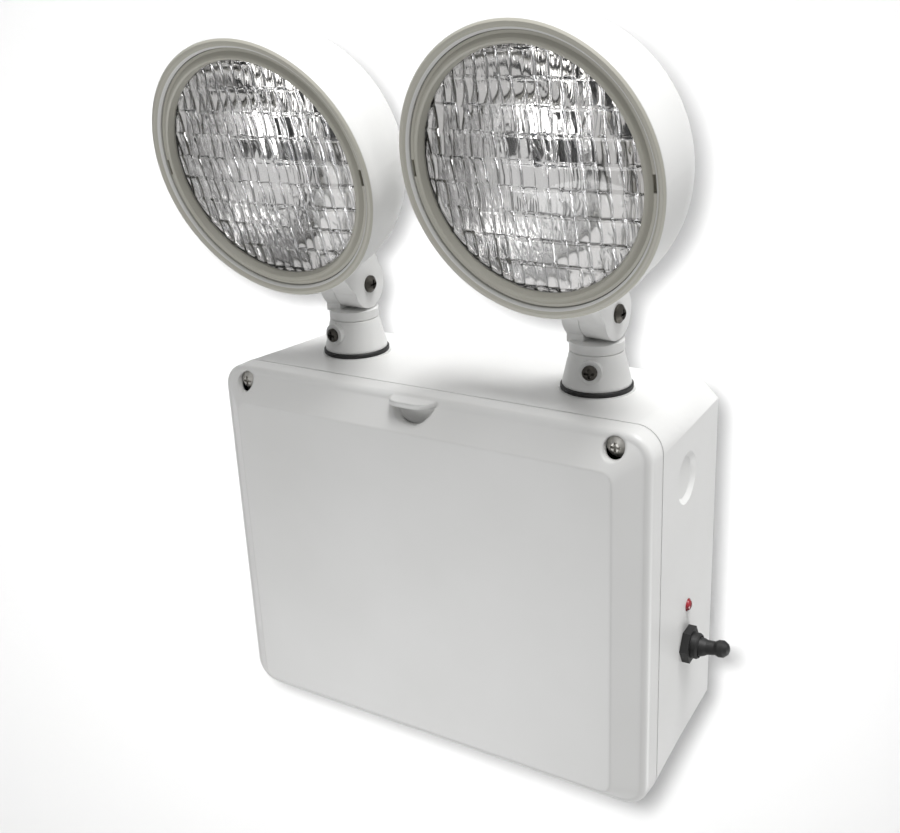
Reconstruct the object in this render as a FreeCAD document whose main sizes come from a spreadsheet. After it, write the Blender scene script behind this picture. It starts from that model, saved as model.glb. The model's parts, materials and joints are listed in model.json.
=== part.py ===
import FreeCAD, Part
import math
import os
import Sketcher

# Wall-mounted emergency light with two aimable lamp heads.
# Millimetres. The wall is the plane Y = 0, the front faces -Y, and the origin is
# the middle of the pattern of wall-mounting holes.

DIMENSIONS = {
    # housing, moulded with draft from the seam back to the wall
    "boxWidth": 260, "boxHeight": 206, "cornerRadius": 13.5, "housingDepth": 82,
    "backWidth": 252, "topFall": 2.5, "bottomRise": 6, "backCut": 10, "wallThick": 3,
    # front cover, a rim with a raised panel
    "seamGap": 0.6, "rimDepth": 13.7, "rimRound": 3.5, "panelStand": 22.7, "panelSide": 16,
    "panelTop": 17.3, "panelBottom": 10.5, "panelCorner": 6, "coverThick": 3,
    "sealWidth": 1.8, "sealSeat": 1, "sealSide": 0.1,
    "tabRadius": 13.5, "tabReach": 8.5, "tabThick": 2.6, "tabPocket": 2.5,
    "tongueWidth": 24, "tongueLength": 9, "tongueThick": 2.5, "tongueX": 70,
    # cover screws
    "screwX": 112, "screwDrop": 7.6, "screwRadius": 2.1, "screwLength": 22, "screwHeadRadius": 4.9,
    "screwHeadThick": 3, "screwPostRadius": 5.6, "screwPostDepth": 26,
    "screwClear": 0.2, "crossWidth": 1.3, "crossLength": 5.2, "crossDepth": 1.8,
    # wall mounting
    "mountX": 112, "mountZ": 80, "mountRadius": 3.2, "mountBossRadius": 6.5, "mountBossHeight": 4,
    "wireEntryRadius": 11.1, "wireEntryWeb": 1,
    # fittings on the right-hand side wall, measured back from the seam and up from the bottom edge
    "knockoutBack": 35, "knockoutUp": 167, "knockoutMouth": 13.5, "knockoutFloor": 11, "knockoutDeep": 2,
    "ledBack": 42, "ledUp": 92, "ledRadius": 2.5, "ledFlange": 2.9, "ledClear": 0.1, "ledDome": 1.2,
    "ledTail": 5,
    "switchBack": 40, "switchUp": 70, "bushingRadius": 5.9, "bushingBore": 4.7, "bushingReach": 3.6,
    "switchHole": 6.1, "switchLong": 30, "switchWide": 18, "switchDeep": 20,
    "nutFlats": 17.4, "nutThick": 4.2, "collarRadius": 6.9, "collarThick": 4, "collarBore": 5.7,
    "bootBall": 5.2, "bootRadius": 4.5, "bootTip": 3.6, "bootReach": 15.6, "leverRadius": 1.6,
    "leverClear": 0.1,
    "toggleLift": 8,
    # swivels on the top wall
    "swivelSpacing": 152.4, "swivelBack": 40.8, "seatRadius": 19.5, "seatRise": -0.5, "seatThick": 4.5,
    "gasketRadius": 18.7, "gasketThick": 2.5, "coneBottom": 17.7, "coneTop": 14, "coneHeight": 17.6,
    "stemRadius": 10.5, "stemLength": 15, "stemClear": 0.4, "wireBore": 6, "spigotRadius": 9.6,
    "spigotClear": 0.3, "spigotLength": 15, "locknutFlats": 30, "locknutThick": 5, "threadClear": 0.1,
    "setScrewHeight": 10.5, "setScrewHead": 3.8, "setScrewThick": 2.4, "setScrewRadius": 2, "setBoss": 6,
    "setBossReach": 17.2, "rightSetTurn": 14, "leftSetTurn": -9,
    # neck and knuckle
    "neckRadius": 14, "ledgeHeight": 5.4, "pivotHeight": 19.9, "earRadius": 13.8, "earOuter": 12.5,
    "earInner": 3, "knuckleGap": 0.3, "lugOuter": 12, "pivotRadius": 2.5, "pivotClear": 0.05,
    "pivotHead": 4.8, "pivotHeadThick": 3, "pivotNutFlats": 8, "pivotNutThick": 4, "nutClear": 0.1,
    # lamp heads
    "ringReach": 52, "ringRise": 86.5, "rimStand": 1, "rimLip": 6, "drumRadius": 66.5, "headWall": 2.5,
    "drumStraight": 23, "drumRound": 33, "openingStep": 3.9, "rimSlope": 2.2,
    "shelfDepth": 11, "shelfWide": 2.6, "shelfThick": 3, "saddleRadius": 14.7, "saddleLow": 12,
    "lugFront": 27, "lugFrontRise": 25, "lugBack": 2, "lugBackRise": 56,
    "bezelClear": 0.3, "bezelLand": 1.5, "beadSlope": 2.6, "beadWide": 2, "beadFront": 0.8,
    "grooveFront": 3, "bezelInnerFront": 4.5, "slotLong": 8, "slotWide": 1.5, "slotDeep": 2,
    "lensFront": 7, "lensThick": 2.5, "lensClear": 0.6, "lensFaceClear": 0.3, "lensFaceFront": 6,
    "lensDome": 3,
    "fluteCount": 15, "flutePitch": 7.2, "fluteDepth": 1,
    "lampSealClear": 0.2, "reflectorClear": 0.6, "reflectorWall": 1.2, "reflectorDeep": 34,
    "reflectorNeck": 8, "bulbRadius": 5, "bulbLong": 22, "holderRadius": 7.6, "holderLong": 12,
    # aim of the heads: turn outward is positive toward +X, lift is positive upward
    "rightTurn": -3, "rightLift": -10, "leftTurn": 1, "leftLift": -14,
    # inside the housing
    "batteryLong": 151, "batteryDeep": 50, "batteryHigh": 94, "batteryX": -24.5, "batteryBack": 9,
    "batteryFloor": 11, "ribThick": 3, "ribPitch": 60, "terminalLong": 6.3, "terminalHigh": 6,
    "terminalThick": 0.8, "terminalFirst": 12, "terminalSecond": 30, "terminalInset": 18,
    "strapWide": 25, "strapThick": 1.5, "strapDrop": 22, "strapUp": 14,
    "boardLong": 120, "boardHigh": 62, "boardThick": 1.6, "boardX": 38, "boardZ": 44, "postHigh": 9,
    "postRadius": 3.5, "postInset": 5, "boardScrew": 1.4, "boardScrewHead": 2.8, "boardScrewLong": 8,
    "coreLong": 57, "coreHigh": 48, "coreDeep": 19, "coilLong": 30, "coilDeep": 40, "coreX": -82, "coreZ": 40,
    "blockLong": 36, "blockHigh": 11, "blockDeep": 13, "blockInset": 14, "blockUp": 2, "capRadius": 6.3,
    "capHigh": 20,
    "sinkLong": 22, "sinkHigh": 16, "sinkDeep": 12, "sinkInset": 16, "sinkUp": 6, "finFirst": 2,
    "finPitch": 5,
}

doc = FreeCAD.newDocument("EmergencyLight")
sheet = doc.addObject("Spreadsheet::Sheet", "Sizes")
for row, (alias, value) in enumerate(DIMENSIONS.items(), start=1):
    sheet.set(f"A{row}", alias)
    sheet.set(f"B{row}", str(value))
    sheet.setAlias(f"B{row}", alias)
doc.recompute()


class Size:
    """A number together with the sheet expression that gives it."""

    def __init__(self, value, text):
        self.value = value
        self.text = text

    def joined(self, other, sign, value):
        return Size(value, f"({self.text} {sign} {sized(other).text})")

    def __add__(self, other):
        return self.joined(other, "+", self.value + sized(other).value)

    def __sub__(self, other):
        return self.joined(other, "-", self.value - sized(other).value)

    def __mul__(self, other):
        return self.joined(other, "*", self.value * sized(other).value)

    def __truediv__(self, other):
        return self.joined(other, "/", self.value / sized(other).value)

    def __radd__(self, other):
        return sized(other) + self

    def __rsub__(self, other):
        return sized(other) - self

    def __rmul__(self, other):
        return sized(other) * self

    def __neg__(self):
        return Size(-self.value, f"(-1 * {self.text})")


def sized(number):
    return number if isinstance(number, Size) else Size(number, repr(number))


def angleOf(opposite, adjacent):
    """Angle in degrees of a slope given by two sizes."""
    value = math.degrees(math.atan2(opposite.value, adjacent.value))
    return Size(value, f"(atan({opposite.text} / {adjacent.text}) / 1 deg)")


class Sheet:
    """Gives each cell of the spreadsheet as a Size, by its alias."""

    def __getattr__(self, alias):
        return Size(DIMENSIONS[alias], f"Sizes.{alias}")


d = Sheet()


# ---------------------------------------------------------------- modelling helpers

def bind(item, prop, number):
    item.setExpression(prop, sized(number).text)


def newBody(name):
    body = doc.addObject("PartDesign::Body", name)
    body.Label = name
    return body


def move(x=0, y=0, z=0, axis=(0, 0, 1), turn=0):
    """One step of a placement, as an expression: a shift followed by a turn in place."""
    shift = "; ".join(sized(n).text for n in (x, y, z))
    about = "; ".join(str(n) for n in axis)
    return f"placement(vector({shift}); rotation(vector({about}); {sized(turn).text}))"


def put(item, *moves):
    item.setExpression("Placement", " * ".join(moves))


def plane(body, role):
    return next(item for item in body.Origin.OriginFeatures if item.Role == role)


def newSketch(body, role, name, offset=None):
    sketch = body.newObject("Sketcher::SketchObject", name)
    sketch.AttachmentSupport = (plane(body, role), "")
    sketch.MapMode = "FlatFace"
    if offset is not None:
        bind(sketch, "AttachmentOffset.Base.z", offset)
    return sketch


def locate(sketch, shape, end, x, y):
    """Fix a point of the sketch at coordinates taken from the sheet."""
    for kind, number, axis in (("DistanceX", x, -2), ("DistanceY", y, -1)):
        number = sized(number)
        if number.text == "0":
            sketch.addConstraint(Sketcher.Constraint("PointOnObject", shape, end, axis))
        else:
            index = sketch.addConstraint(Sketcher.Constraint(kind, -1, 1, shape, end, number.value))
            bind(sketch, f"Constraints[{index}]", number)


def vector(x, y):
    return FreeCAD.Vector(sized(x).value, sized(y).value, 0)


def outline(sketch, corners):
    """Closed outline of straight sides. A corner is (x, y), or (x, y, radius) to round it."""
    count = len(corners)
    tips = [vector(*corner[:2]) for corner in corners]
    ends = []
    for i, corner in enumerate(corners):
        back = (tips[i - 1] - tips[i]).normalize()
        ahead = (tips[(i + 1) % count] - tips[i]).normalize()
        if len(corner) == 3:
            run = sized(corner[2]).value / math.tan(back.getAngle(ahead) / 2)
            ends.append((tips[i] + back * run, tips[i] + ahead * run, back, ahead))
        else:
            ends.append((tips[i], tips[i], back, ahead))
    lines = []
    for i in range(count):
        lines.append(sketch.addGeometry(Part.LineSegment(ends[i][1], ends[(i + 1) % count][0])))
    for i, corner in enumerate(corners):
        before, after = lines[i - 1], lines[i]
        if len(corner) == 2:
            sketch.addConstraint(Sketcher.Constraint("Coincident", before, 2, after, 1))
            locate(sketch, after, 1, *corner)
            continue
        start, stop, back, ahead = ends[i]
        radius = sized(corner[2])
        middle = (back + ahead).normalize()
        centre = tips[i] + middle * (radius.value / math.sin(back.getAngle(ahead) / 2))
        arc = sketch.addGeometry(Part.Arc(start, centre - middle * radius.value, stop))
        leftTurn = back.cross(ahead).z < 0
        first, last = (1, 2) if leftTurn else (2, 1)
        sketch.addConstraint(Sketcher.Constraint("Tangent", before, 2, arc, first))
        sketch.addConstraint(Sketcher.Constraint("Tangent", after, 1, arc, last))
        bind(sketch, f"Constraints[{sketch.addConstraint(Sketcher.Constraint('Radius', arc, radius.value))}]", radius)
        tip = sketch.addGeometry(Part.Point(tips[i]), True)
        sketch.addConstraint(Sketcher.Constraint("PointOnObject", tip, 1, before))
        sketch.addConstraint(Sketcher.Constraint("PointOnObject", tip, 1, after))
        locate(sketch, tip, 1, corner[0], corner[1])
    return sketch


def circle(sketch, x, y, radius):
    shape = sketch.addGeometry(Part.Circle(vector(x, y), FreeCAD.Vector(0, 0, 1), sized(radius).value))
    index = sketch.addConstraint(Sketcher.Constraint("Radius", shape, sized(radius).value))
    bind(sketch, f"Constraints[{index}]", radius)
    locate(sketch, shape, 3, x, y)
    return sketch


def block(left, right, low, high, radius=None):
    """Corners of a rectangle, rounded if a radius is given."""
    corners = [(left, low), (right, low), (right, high), (left, high)]
    return [corner + (radius,) for corner in corners] if radius is not None else corners


def hexagon(flats):
    reach = flats / math.sqrt(3)
    return [(reach * round(math.cos(math.radians(60 * k)), 9),
             reach * round(math.sin(math.radians(60 * k)), 9))
            for k in range(6)]


def feature(body, kind, sketch, name, length=None, backward=False, both=False):
    """A Pad or Pocket. With no length it runs through everything."""
    item = body.newObject(f"PartDesign::{kind}", name)
    item.Profile = sketch
    if length is None:
        item.Type = "ThroughAll"
    else:
        bind(item, "Length", length)
    item.Reversed = backward
    item.Midplane = both
    sketch.Visibility = False
    return item


def turned(body, role, name, corners, axis="V_Axis", kind="Revolution"):
    """A full turn of an outline about an axis of its sketch."""
    sketch = outline(newSketch(body, role, name + "Profile"), corners)
    item = body.newObject(f"PartDesign::{kind}", name)
    item.Profile = sketch
    item.ReferenceAxis = (sketch, [axis])
    item.Angle = 360
    return item


def loft(body, kind, name, first, second, ruled=True):
    item = body.newObject(f"PartDesign::{kind}Loft", name)
    item.Profile = first
    item.Sections = [second]
    item.Ruled = ruled
    return item


def cutter(body, kind, name, sizes, *moves):
    """A PartDesign primitive, such as SubtractiveCylinder, with bound sizes and place."""
    item = body.newObject(f"PartDesign::{kind}", name)
    for prop, number in sizes.items():
        bind(item, prop, number)
    put(item, *moves)
    return item


def crossRecess(body, name, role, start, into):
    """A cross-head driver recess, cut from a plane at the given offset."""
    sketch = newSketch(body, role, name + "Cross", start)
    long, half = d.crossLength / 2, d.crossWidth / 2
    outline(sketch, [(long, -half), (long, half), (half, half), (half, long), (-half, long), (-half, half),
                     (-long, half), (-long, -half), (-half, -half), (-half, -long), (half, -long),
                     (half, -half)])
    feature(body, "Pocket", sketch, name, d.crossDepth, backward=into)


# ---------------------------------------------------------------- common places

top = d.boxHeight / 2
bottom = -d.boxHeight / 2
halfWidth = d.boxWidth / 2
seam = d.housingDepth
sideDraft = angleOf((d.boxWidth - d.backWidth) / 2, d.housingDepth)
# radii in a lamp head, each from the one that it fits
rimRadius = d.drumRadius + d.rimStand
openingRadius = d.drumRadius - d.openingStep
shelfRadius = openingRadius - d.shelfWide
bezelRadius = openingRadius - d.bezelClear
grooveRadius = bezelRadius - d.bezelLand
beadRadius = grooveRadius - d.beadSlope
bezelInner = beadRadius - d.beadWide
lensRadius = openingRadius - d.lensClear
lensFaceRadius = bezelInner - d.lensFaceClear
reflectorRadius = shelfRadius - d.reflectorClear


def sideWallX(back):
    """Outer face of the side wall at a distance behind the seam."""
    return halfWidth - (d.boxWidth - d.backWidth) / 2 * (back / d.housingDepth)


def onSideWall(back, up):
    """Frame on the right-hand side wall, with its X axis straight out of the wall."""
    return move(sideWallX(back), back - seam, bottom + up, turn=sideDraft)


def frontOutline(inset):
    """Rounded outline of the box at the seam, set in from its edge."""
    wide, high = halfWidth - inset, top - inset
    return block(-wide, wide, -high, high, d.cornerRadius - inset)


def backOutline(inset):
    """Outline of the box at the wall, narrower and with its corners cut."""
    wide = d.backWidth / 2 - inset
    high, low = top - d.topFall - inset, bottom + d.bottomRise + inset
    cut = d.backCut - inset * (2 - math.sqrt(2))
    return [(-wide + cut, low), (wide - cut, low), (wide, low + cut), (wide, high - cut),
            (wide - cut, high), (-wide + cut, high), (-wide, high - cut), (-wide, low + cut)]


# ---------------------------------------------------------------- housing

def makeHousing():
    body = newBody("housing")
    outerFront = outline(newSketch(body, "XZ_Plane", "OuterFront", seam), frontOutline(0))
    outerBack = outline(newSketch(body, "XZ_Plane", "OuterBack"), backOutline(0))
    loft(body, "Additive", "OuterForm", outerFront, outerBack)
    innerFront = outline(newSketch(body, "XZ_Plane", "InnerFront", seam), frontOutline(d.wallThick))
    innerBack = outline(newSketch(body, "XZ_Plane", "InnerBack", d.wallThick), backOutline(d.wallThick))
    loft(body, "Subtractive", "Cavity", innerFront, innerBack)

    # level seats under the swivels, because the top wall slopes back
    seats = newSketch(body, "XY_Plane", "SwivelSeats", top + d.seatRise)
    for side in (-1, 1):
        circle(seats, side * d.swivelSpacing / 2, d.swivelBack - seam, d.seatRadius)
    feature(body, "Pad", seats, "SwivelSeatPads", d.seatThick, backward=True)

    posts = newSketch(body, "XZ_Plane", "CoverPosts", seam - d.sealSeat)
    for side in (-1, 1):
        circle(posts, side * d.screwX, top - d.screwDrop, d.screwPostRadius)
    feature(body, "Pad", posts, "CoverScrewPosts", d.screwPostDepth, backward=True)

    bosses = newSketch(body, "XZ_Plane", "MountBosses")
    for x in (-1, 1):
        for z in (-1, 1):
            circle(bosses, x * d.mountX, z * d.mountZ, d.mountBossRadius)
    feature(body, "Pad", bosses, "MountBossPads", d.wallThick + d.mountBossHeight)

    standoffs = newSketch(body, "XZ_Plane", "Standoffs")
    for x, z in boardCorners():
        circle(standoffs, x, z, d.postRadius)
    feature(body, "Pad", standoffs, "BoardPosts", d.wallThick + d.postHigh)

    # ribs that carry the battery level over the sloping floor
    for k in (-1, 0, 1):
        rib = newSketch(body, "YZ_Plane", f"BatteryRib{k + 1}", d.batteryX + k * d.ribPitch - d.ribThick / 2)
        rear, fore = d.wallThick / 2, d.batteryBack + d.batteryDeep
        outline(rib, [(-rear, floorHeight(rear)), (-rear, bottom + d.batteryFloor),
                      (-fore, bottom + d.batteryFloor), (-fore, floorHeight(fore))])
        feature(body, "Pad", rib, f"BatteryRibPad{k + 1}", d.ribThick)

    rabbet = newSketch(body, "XZ_Plane", "SealRabbet", seam)
    outline(rabbet, frontOutline(d.wallThick - d.sealWidth - d.sealSide))
    feature(body, "Pocket", rabbet, "SealSeat", d.sealSeat)

    holes = newSketch(body, "XZ_Plane", "MountHoles")
    for x in (-1, 1):
        for z in (-1, 1):
            circle(holes, x * d.mountX, z * d.mountZ, d.mountRadius)
    feature(body, "Pocket", holes, "WallHoles", d.wallThick + d.mountBossHeight, backward=True)

    # thin round web behind, to be knocked out for a rear cable entry
    entry = circle(newSketch(body, "XZ_Plane", "WireEntry", d.wireEntryWeb), 0, 0, d.wireEntryRadius)
    feature(body, "Pocket", entry, "RearKnockout", d.wallThick, backward=True)

    screwHoles = newSketch(body, "XZ_Plane", "CoverScrewHoles", seam)
    for side in (-1, 1):
        circle(screwHoles, side * d.screwX, top - d.screwDrop, d.screwRadius)
    feature(body, "Pocket", screwHoles, "CoverScrewBores", d.screwPostDepth)

    boardHoles = newSketch(body, "XZ_Plane", "BoardScrewHoles", d.wallThick + d.postHigh)
    for x, z in boardCorners():
        circle(boardHoles, x, z, d.boardScrew)
    feature(body, "Pocket", boardHoles, "BoardScrewBores", d.boardScrewLong)

    stems = newSketch(body, "XY_Plane", "StemHoles", top + d.seatRise)
    for side in (-1, 1):
        circle(stems, side * d.swivelSpacing / 2, d.swivelBack - seam, d.stemRadius + d.stemClear)
    feature(body, "Pocket", stems, "StemBores", d.seatThick * 2)

    along = move(axis=(0, 1, 0), turn=90)
    cutter(body, "SubtractiveCone", "SideKnockout",
           {"Radius1": d.knockoutFloor, "Radius2": d.knockoutMouth + 1, "Height": d.knockoutDeep * 1.4},
           onSideWall(d.knockoutBack, d.knockoutUp), move(-d.knockoutDeep), along)
    cutter(body, "SubtractiveCylinder", "LampHole", {"Radius": d.ledRadius + d.ledClear,
                                                     "Height": d.wallThick * 3},
           onSideWall(d.ledBack, d.ledUp), move(-2 * d.wallThick), along)
    cutter(body, "SubtractiveCylinder", "SwitchHole", {"Radius": d.switchHole, "Height": d.wallThick * 3},
           onSideWall(d.switchBack, d.switchUp), move(-2 * d.wallThick), along)


def floorHeight(fromWall):
    """Middle of the sloping floor at a distance from the wall."""
    return bottom + d.wallThick / 2 + d.bottomRise * (1 - fromWall / d.housingDepth)


def boardCorners():
    x, z = d.boardLong / 2 - d.postInset, d.boardHigh / 2 - d.postInset
    return [(d.boardX + i * x, d.boardZ + j * z) for i in (-1, 1) for j in (-1, 1)]


# ---------------------------------------------------------------- front cover and its fittings

def makeCover():
    body = newBody("front_cover")
    rearPlane = seam + d.seamGap
    rim = outline(newSketch(body, "XZ_Plane", "Rim", rearPlane), frontOutline(0))
    rimPad = feature(body, "Pad", rim, "RimPad", d.rimDepth - d.seamGap)
    doc.recompute()
    frontFace = next(f"Face{i}" for i, face in enumerate(rimPad.Shape.Faces, start=1)
                     if abs(face.BoundBox.YMin + (seam + d.rimDepth).value) < 1e-4 and face.BoundBox.YLength < 1e-4)
    fillet = body.newObject("PartDesign::Fillet", "RimRounding")
    fillet.Base = (rimPad, [frontFace])
    bind(fillet, "Radius", d.rimRound)

    panelFoot = outline(newSketch(body, "XZ_Plane", "PanelFoot", seam + d.rimDepth), frontOutline(d.rimRound))
    panelFace = outline(newSketch(body, "XZ_Plane", "PanelFace", seam + d.panelStand), panelOutline(0))
    loft(body, "Additive", "RaisedPanel", panelFoot, panelFace)

    hollow = outline(newSketch(body, "XZ_Plane", "Hollow", rearPlane), frontOutline(d.coverThick))
    feature(body, "Pocket", hollow, "RimHollow", d.rimDepth - d.seamGap - d.coverThick, backward=True)
    footInside = newSketch(body, "XZ_Plane", "PanelFootInside", seam + d.rimDepth - d.coverThick)
    outline(footInside, frontOutline(d.rimRound + d.coverThick))
    faceInside = newSketch(body, "XZ_Plane", "PanelFaceInside", seam + d.panelStand - d.coverThick)
    outline(faceInside, panelOutline(d.coverThick / 2))
    loft(body, "Subtractive", "PanelHollow", footInside, faceInside)

    posts = newSketch(body, "XZ_Plane", "ScrewPosts", rearPlane)
    for side in (-1, 1):
        circle(posts, side * d.screwX, top - d.screwDrop, d.screwRadius + 2 * d.screwClear + d.coverThick)
    feature(body, "Pad", posts, "ScrewPostPads", d.rimDepth - d.seamGap)
    recess = newSketch(body, "XZ_Plane", "ScrewRecess", seam + d.panelStand)
    for side in (-1, 1):
        circle(recess, side * d.screwX, top - d.screwDrop, d.screwHeadRadius + 3 * d.screwClear)
    feature(body, "Pocket", recess, "ScrewRecesses", d.panelStand - d.rimDepth + d.screwHeadThick - 1)
    bores = newSketch(body, "XZ_Plane", "ScrewBores", seam + d.rimDepth)
    for side in (-1, 1):
        circle(bores, side * d.screwX, top - d.screwDrop, d.screwRadius + 2 * d.screwClear)
    feature(body, "Pocket", bores, "ScrewBoreCuts", d.rimDepth)

    # half-round finger ledge over a shallow pocket in the top bevel
    backing = outline(newSketch(body, "XZ_Plane", "LedgeBacking", seam + d.rimDepth - d.coverThick),
                      scoop(sized(2)))
    feature(body, "Pad", backing, "LedgeBackingPad", d.coverThick)
    pocket = outline(newSketch(body, "XZ_Plane", "LedgePocket", seam + d.panelStand), scoop(sized(0)))
    feature(body, "Pocket", pocket, "LedgePocketCut", d.panelStand - d.rimDepth + d.tabPocket / 2)
    ledge = newSketch(body, "XY_Plane", "Ledge", top - 1)
    outline(ledge, [(-d.tabRadius, -(seam + d.rimDepth - d.coverThick)),
                    (-d.tabRadius, -(seam + d.rimDepth + d.tabReach), d.tabReach),
                    (d.tabRadius, -(seam + d.rimDepth + d.tabReach), d.tabReach),
                    (d.tabRadius, -(seam + d.rimDepth - d.coverThick))])
    feature(body, "Pad", ledge, "LedgePad", d.tabThick, backward=True)

    tongues = newSketch(body, "XZ_Plane", "Tongues", rearPlane)
    low = bottom + d.wallThick + 2 * d.sealSide + 0.5
    for side in (-1, 1):
        middle = side * d.tongueX
        outline(tongues, block(middle - d.tongueWidth / 2, middle + d.tongueWidth / 2, low,
                               low + d.tongueThick))
    feature(body, "Pad", tongues, "TonguePads", d.tongueLength, backward=True)
    roots = newSketch(body, "XZ_Plane", "TongueRoots", rearPlane)
    for side in (-1, 1):
        middle = side * d.tongueX
        outline(roots, block(middle - d.tongueWidth / 2, middle + d.tongueWidth / 2,
                             bottom + d.coverThick / 2,
                             low + d.tongueThick))
    feature(body, "Pad", roots, "TongueRootPads", d.coverThick)


def scoop(spread):
    """Half-round outline below the finger ledge."""
    wide, radius = d.tabRadius - 1 + spread, d.tabRadius - 1.5 + spread
    return [(-wide, top - d.rimRound), (-wide, top - d.tabRadius - spread, radius),
            (wide, top - d.tabRadius - spread, radius), (wide, top - d.rimRound)]


def panelOutline(inset):
    wide = halfWidth - d.panelSide - inset
    low, high = bottom + d.panelBottom + inset, top - d.panelTop - inset
    return block(-wide, wide, low, high, d.panelCorner - inset)


def makeSeal():
    body = newBody("cover_seal")
    inner = d.wallThick - d.sealSide
    ring = outline(newSketch(body, "XZ_Plane", "Ring", seam - d.sealSeat),
                   frontOutline(inner - d.sealWidth + d.sealSide))
    feature(body, "Pad", ring, "RingPad", d.sealSeat + d.seamGap)
    hole = outline(newSketch(body, "XZ_Plane", "RingHole", seam - d.sealSeat), frontOutline(inner))
    feature(body, "Pocket", hole, "RingCut", d.sealSeat + d.seamGap, backward=True)


def makeScrews():
    """Both cover screws as one node, head toward the front."""
    pair = []
    seat = seam + d.rimDepth - d.screwHeadThick + 1
    for side, name in ((-1, "Left"), (1, "Right")):
        body = newBody(f"CoverScrew{name}")
        shank, head = d.screwRadius - 0.02, d.screwHeadRadius
        turned(body, "XY_Plane", "Form",
               [(0, 0), (0, -(seat + d.screwHeadThick)), (head * 0.45, -(seat + d.screwHeadThick)),
                (head, -(seat + d.screwHeadThick * 0.35)), (head, -seat), (shank, -seat),
                (shank, -(seat - d.screwLength)), (shank * 0.4, -(seat - d.screwLength - 2)),
                (0, -(seat - d.screwLength - 2))]
               [1:])
        crossRecess(body, "Drive", "XZ_Plane", seat + d.screwHeadThick, False)
        put(body, move(side * d.screwX, 0, top - d.screwDrop))
        pair.append(body)
    return pair


# ---------------------------------------------------------------- side fittings

def makeIndicator():
    body = newBody("indicator_lamp")
    lens, flange, inside = d.ledRadius, d.ledFlange, -(d.wallThick + 0.3)
    turned(body, "XY_Plane", "Form",
           [(d.ledDome, 0), (d.ledDome * 0.7, lens * 0.7), (0, lens), (inside, lens), (inside, flange),
            (inside - 1, flange), (inside - 1, lens), (inside - d.ledTail, lens), (inside - d.ledTail, 0)],
           axis="H_Axis")
    put(body, onSideWall(d.ledBack, d.ledUp))


def makeSwitch():
    place = onSideWall(d.switchBack, d.switchUp)
    body = newBody("switch_body")
    inside = d.wallThick + 0.3
    case = newSketch(body, "YZ_Plane", "Case", -inside)
    outline(case, block(-d.switchWide / 2, d.switchWide / 2, -d.switchLong / 2, d.switchLong / 2, sized(1.5)))
    feature(body, "Pad", case, "CasePad", d.switchDeep, backward=True)
    reach = d.nutThick - 0.6
    turned(body, "XY_Plane", "Bushing",
           [(-inside - 1, 0), (-inside - 1, d.bushingRadius), (reach, d.bushingRadius), (reach, 0)],
           axis="H_Axis")
    turned(body, "XY_Plane", "BushingBore",
           [(-inside - 2, 0), (-inside - 2, d.bushingBore), (reach, d.bushingBore), (reach, 0)],
           axis="H_Axis", kind="Groove")
    put(body, place)

    nut = newBody("switch_nut")
    hexSketch = outline(newSketch(nut, "YZ_Plane", "Hex"), hexagon(d.nutFlats))
    feature(nut, "Pad", hexSketch, "HexPad", d.nutThick)
    full = d.nutThick + d.collarThick
    turned(nut, "XY_Plane", "Collar",
           [(0, 0), (0, d.collarRadius), (full - 1, d.collarRadius), (full, d.collarRadius - 0.7), (full, 0)],
           axis="H_Axis")
    turned(nut, "XY_Plane", "Bore",
           [(0, 0), (0, d.bushingRadius + 0.05), (d.nutThick - 0.5, d.bushingRadius + 0.05),
            (d.nutThick - 0.5, d.collarBore), (full, d.collarBore), (full, 0)], axis="H_Axis", kind="Groove")
    put(nut, place)

    # the rubber boot bends at the mouth of the collar, and the lever swings with it
    swing = (place, move(full, axis=(0, 1, 0), turn=-d.toggleLift))
    boot = newBody("toggle_boot")
    ball = d.bootBall
    turned(boot, "XY_Plane", "Form",
           [(-ball * 0.8, 0), (-ball * 0.8, ball * 0.6), (-ball * 0.45, ball * 0.89), (0, ball),
            (ball * 0.45, ball * 0.89),
            (ball * 0.75, d.bootRadius * 0.86), (d.bootReach - 7.5, d.bootRadius * 0.8),
            (d.bootReach - 5.5, d.bootRadius),
            (d.bootReach - 3, d.bootRadius), (d.bootReach - 0.8, d.bootTip * 0.8),
            (d.bootReach, d.bootTip * 0.35),
            (d.bootReach, 0)], axis="H_Axis")
    inner = d.leverRadius + d.leverClear
    turned(boot, "XY_Plane", "Socket",
           [(-ball, 0), (-ball, inner), (d.bootReach - 2, inner), (d.bootReach - 2, 0)], axis="H_Axis",
           kind="Groove")
    put(boot, *swing)
    lever = newBody("toggle_lever")
    turned(lever, "XY_Plane", "Form",
           [(-ball - 2.5, 0), (-ball - 2.5, d.leverRadius - 0.4), (-ball - 2, d.leverRadius),
            (d.bootReach - 3, d.leverRadius),
            (d.bootReach - 2.2, d.leverRadius * 0.6), (d.bootReach - 2.2, 0)], axis="H_Axis")
    put(lever, *swing)


# ---------------------------------------------------------------- swivels

def swivelSeat(side):
    return move(side * d.swivelSpacing / 2, d.swivelBack - seam, top + d.seatRise)


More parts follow.
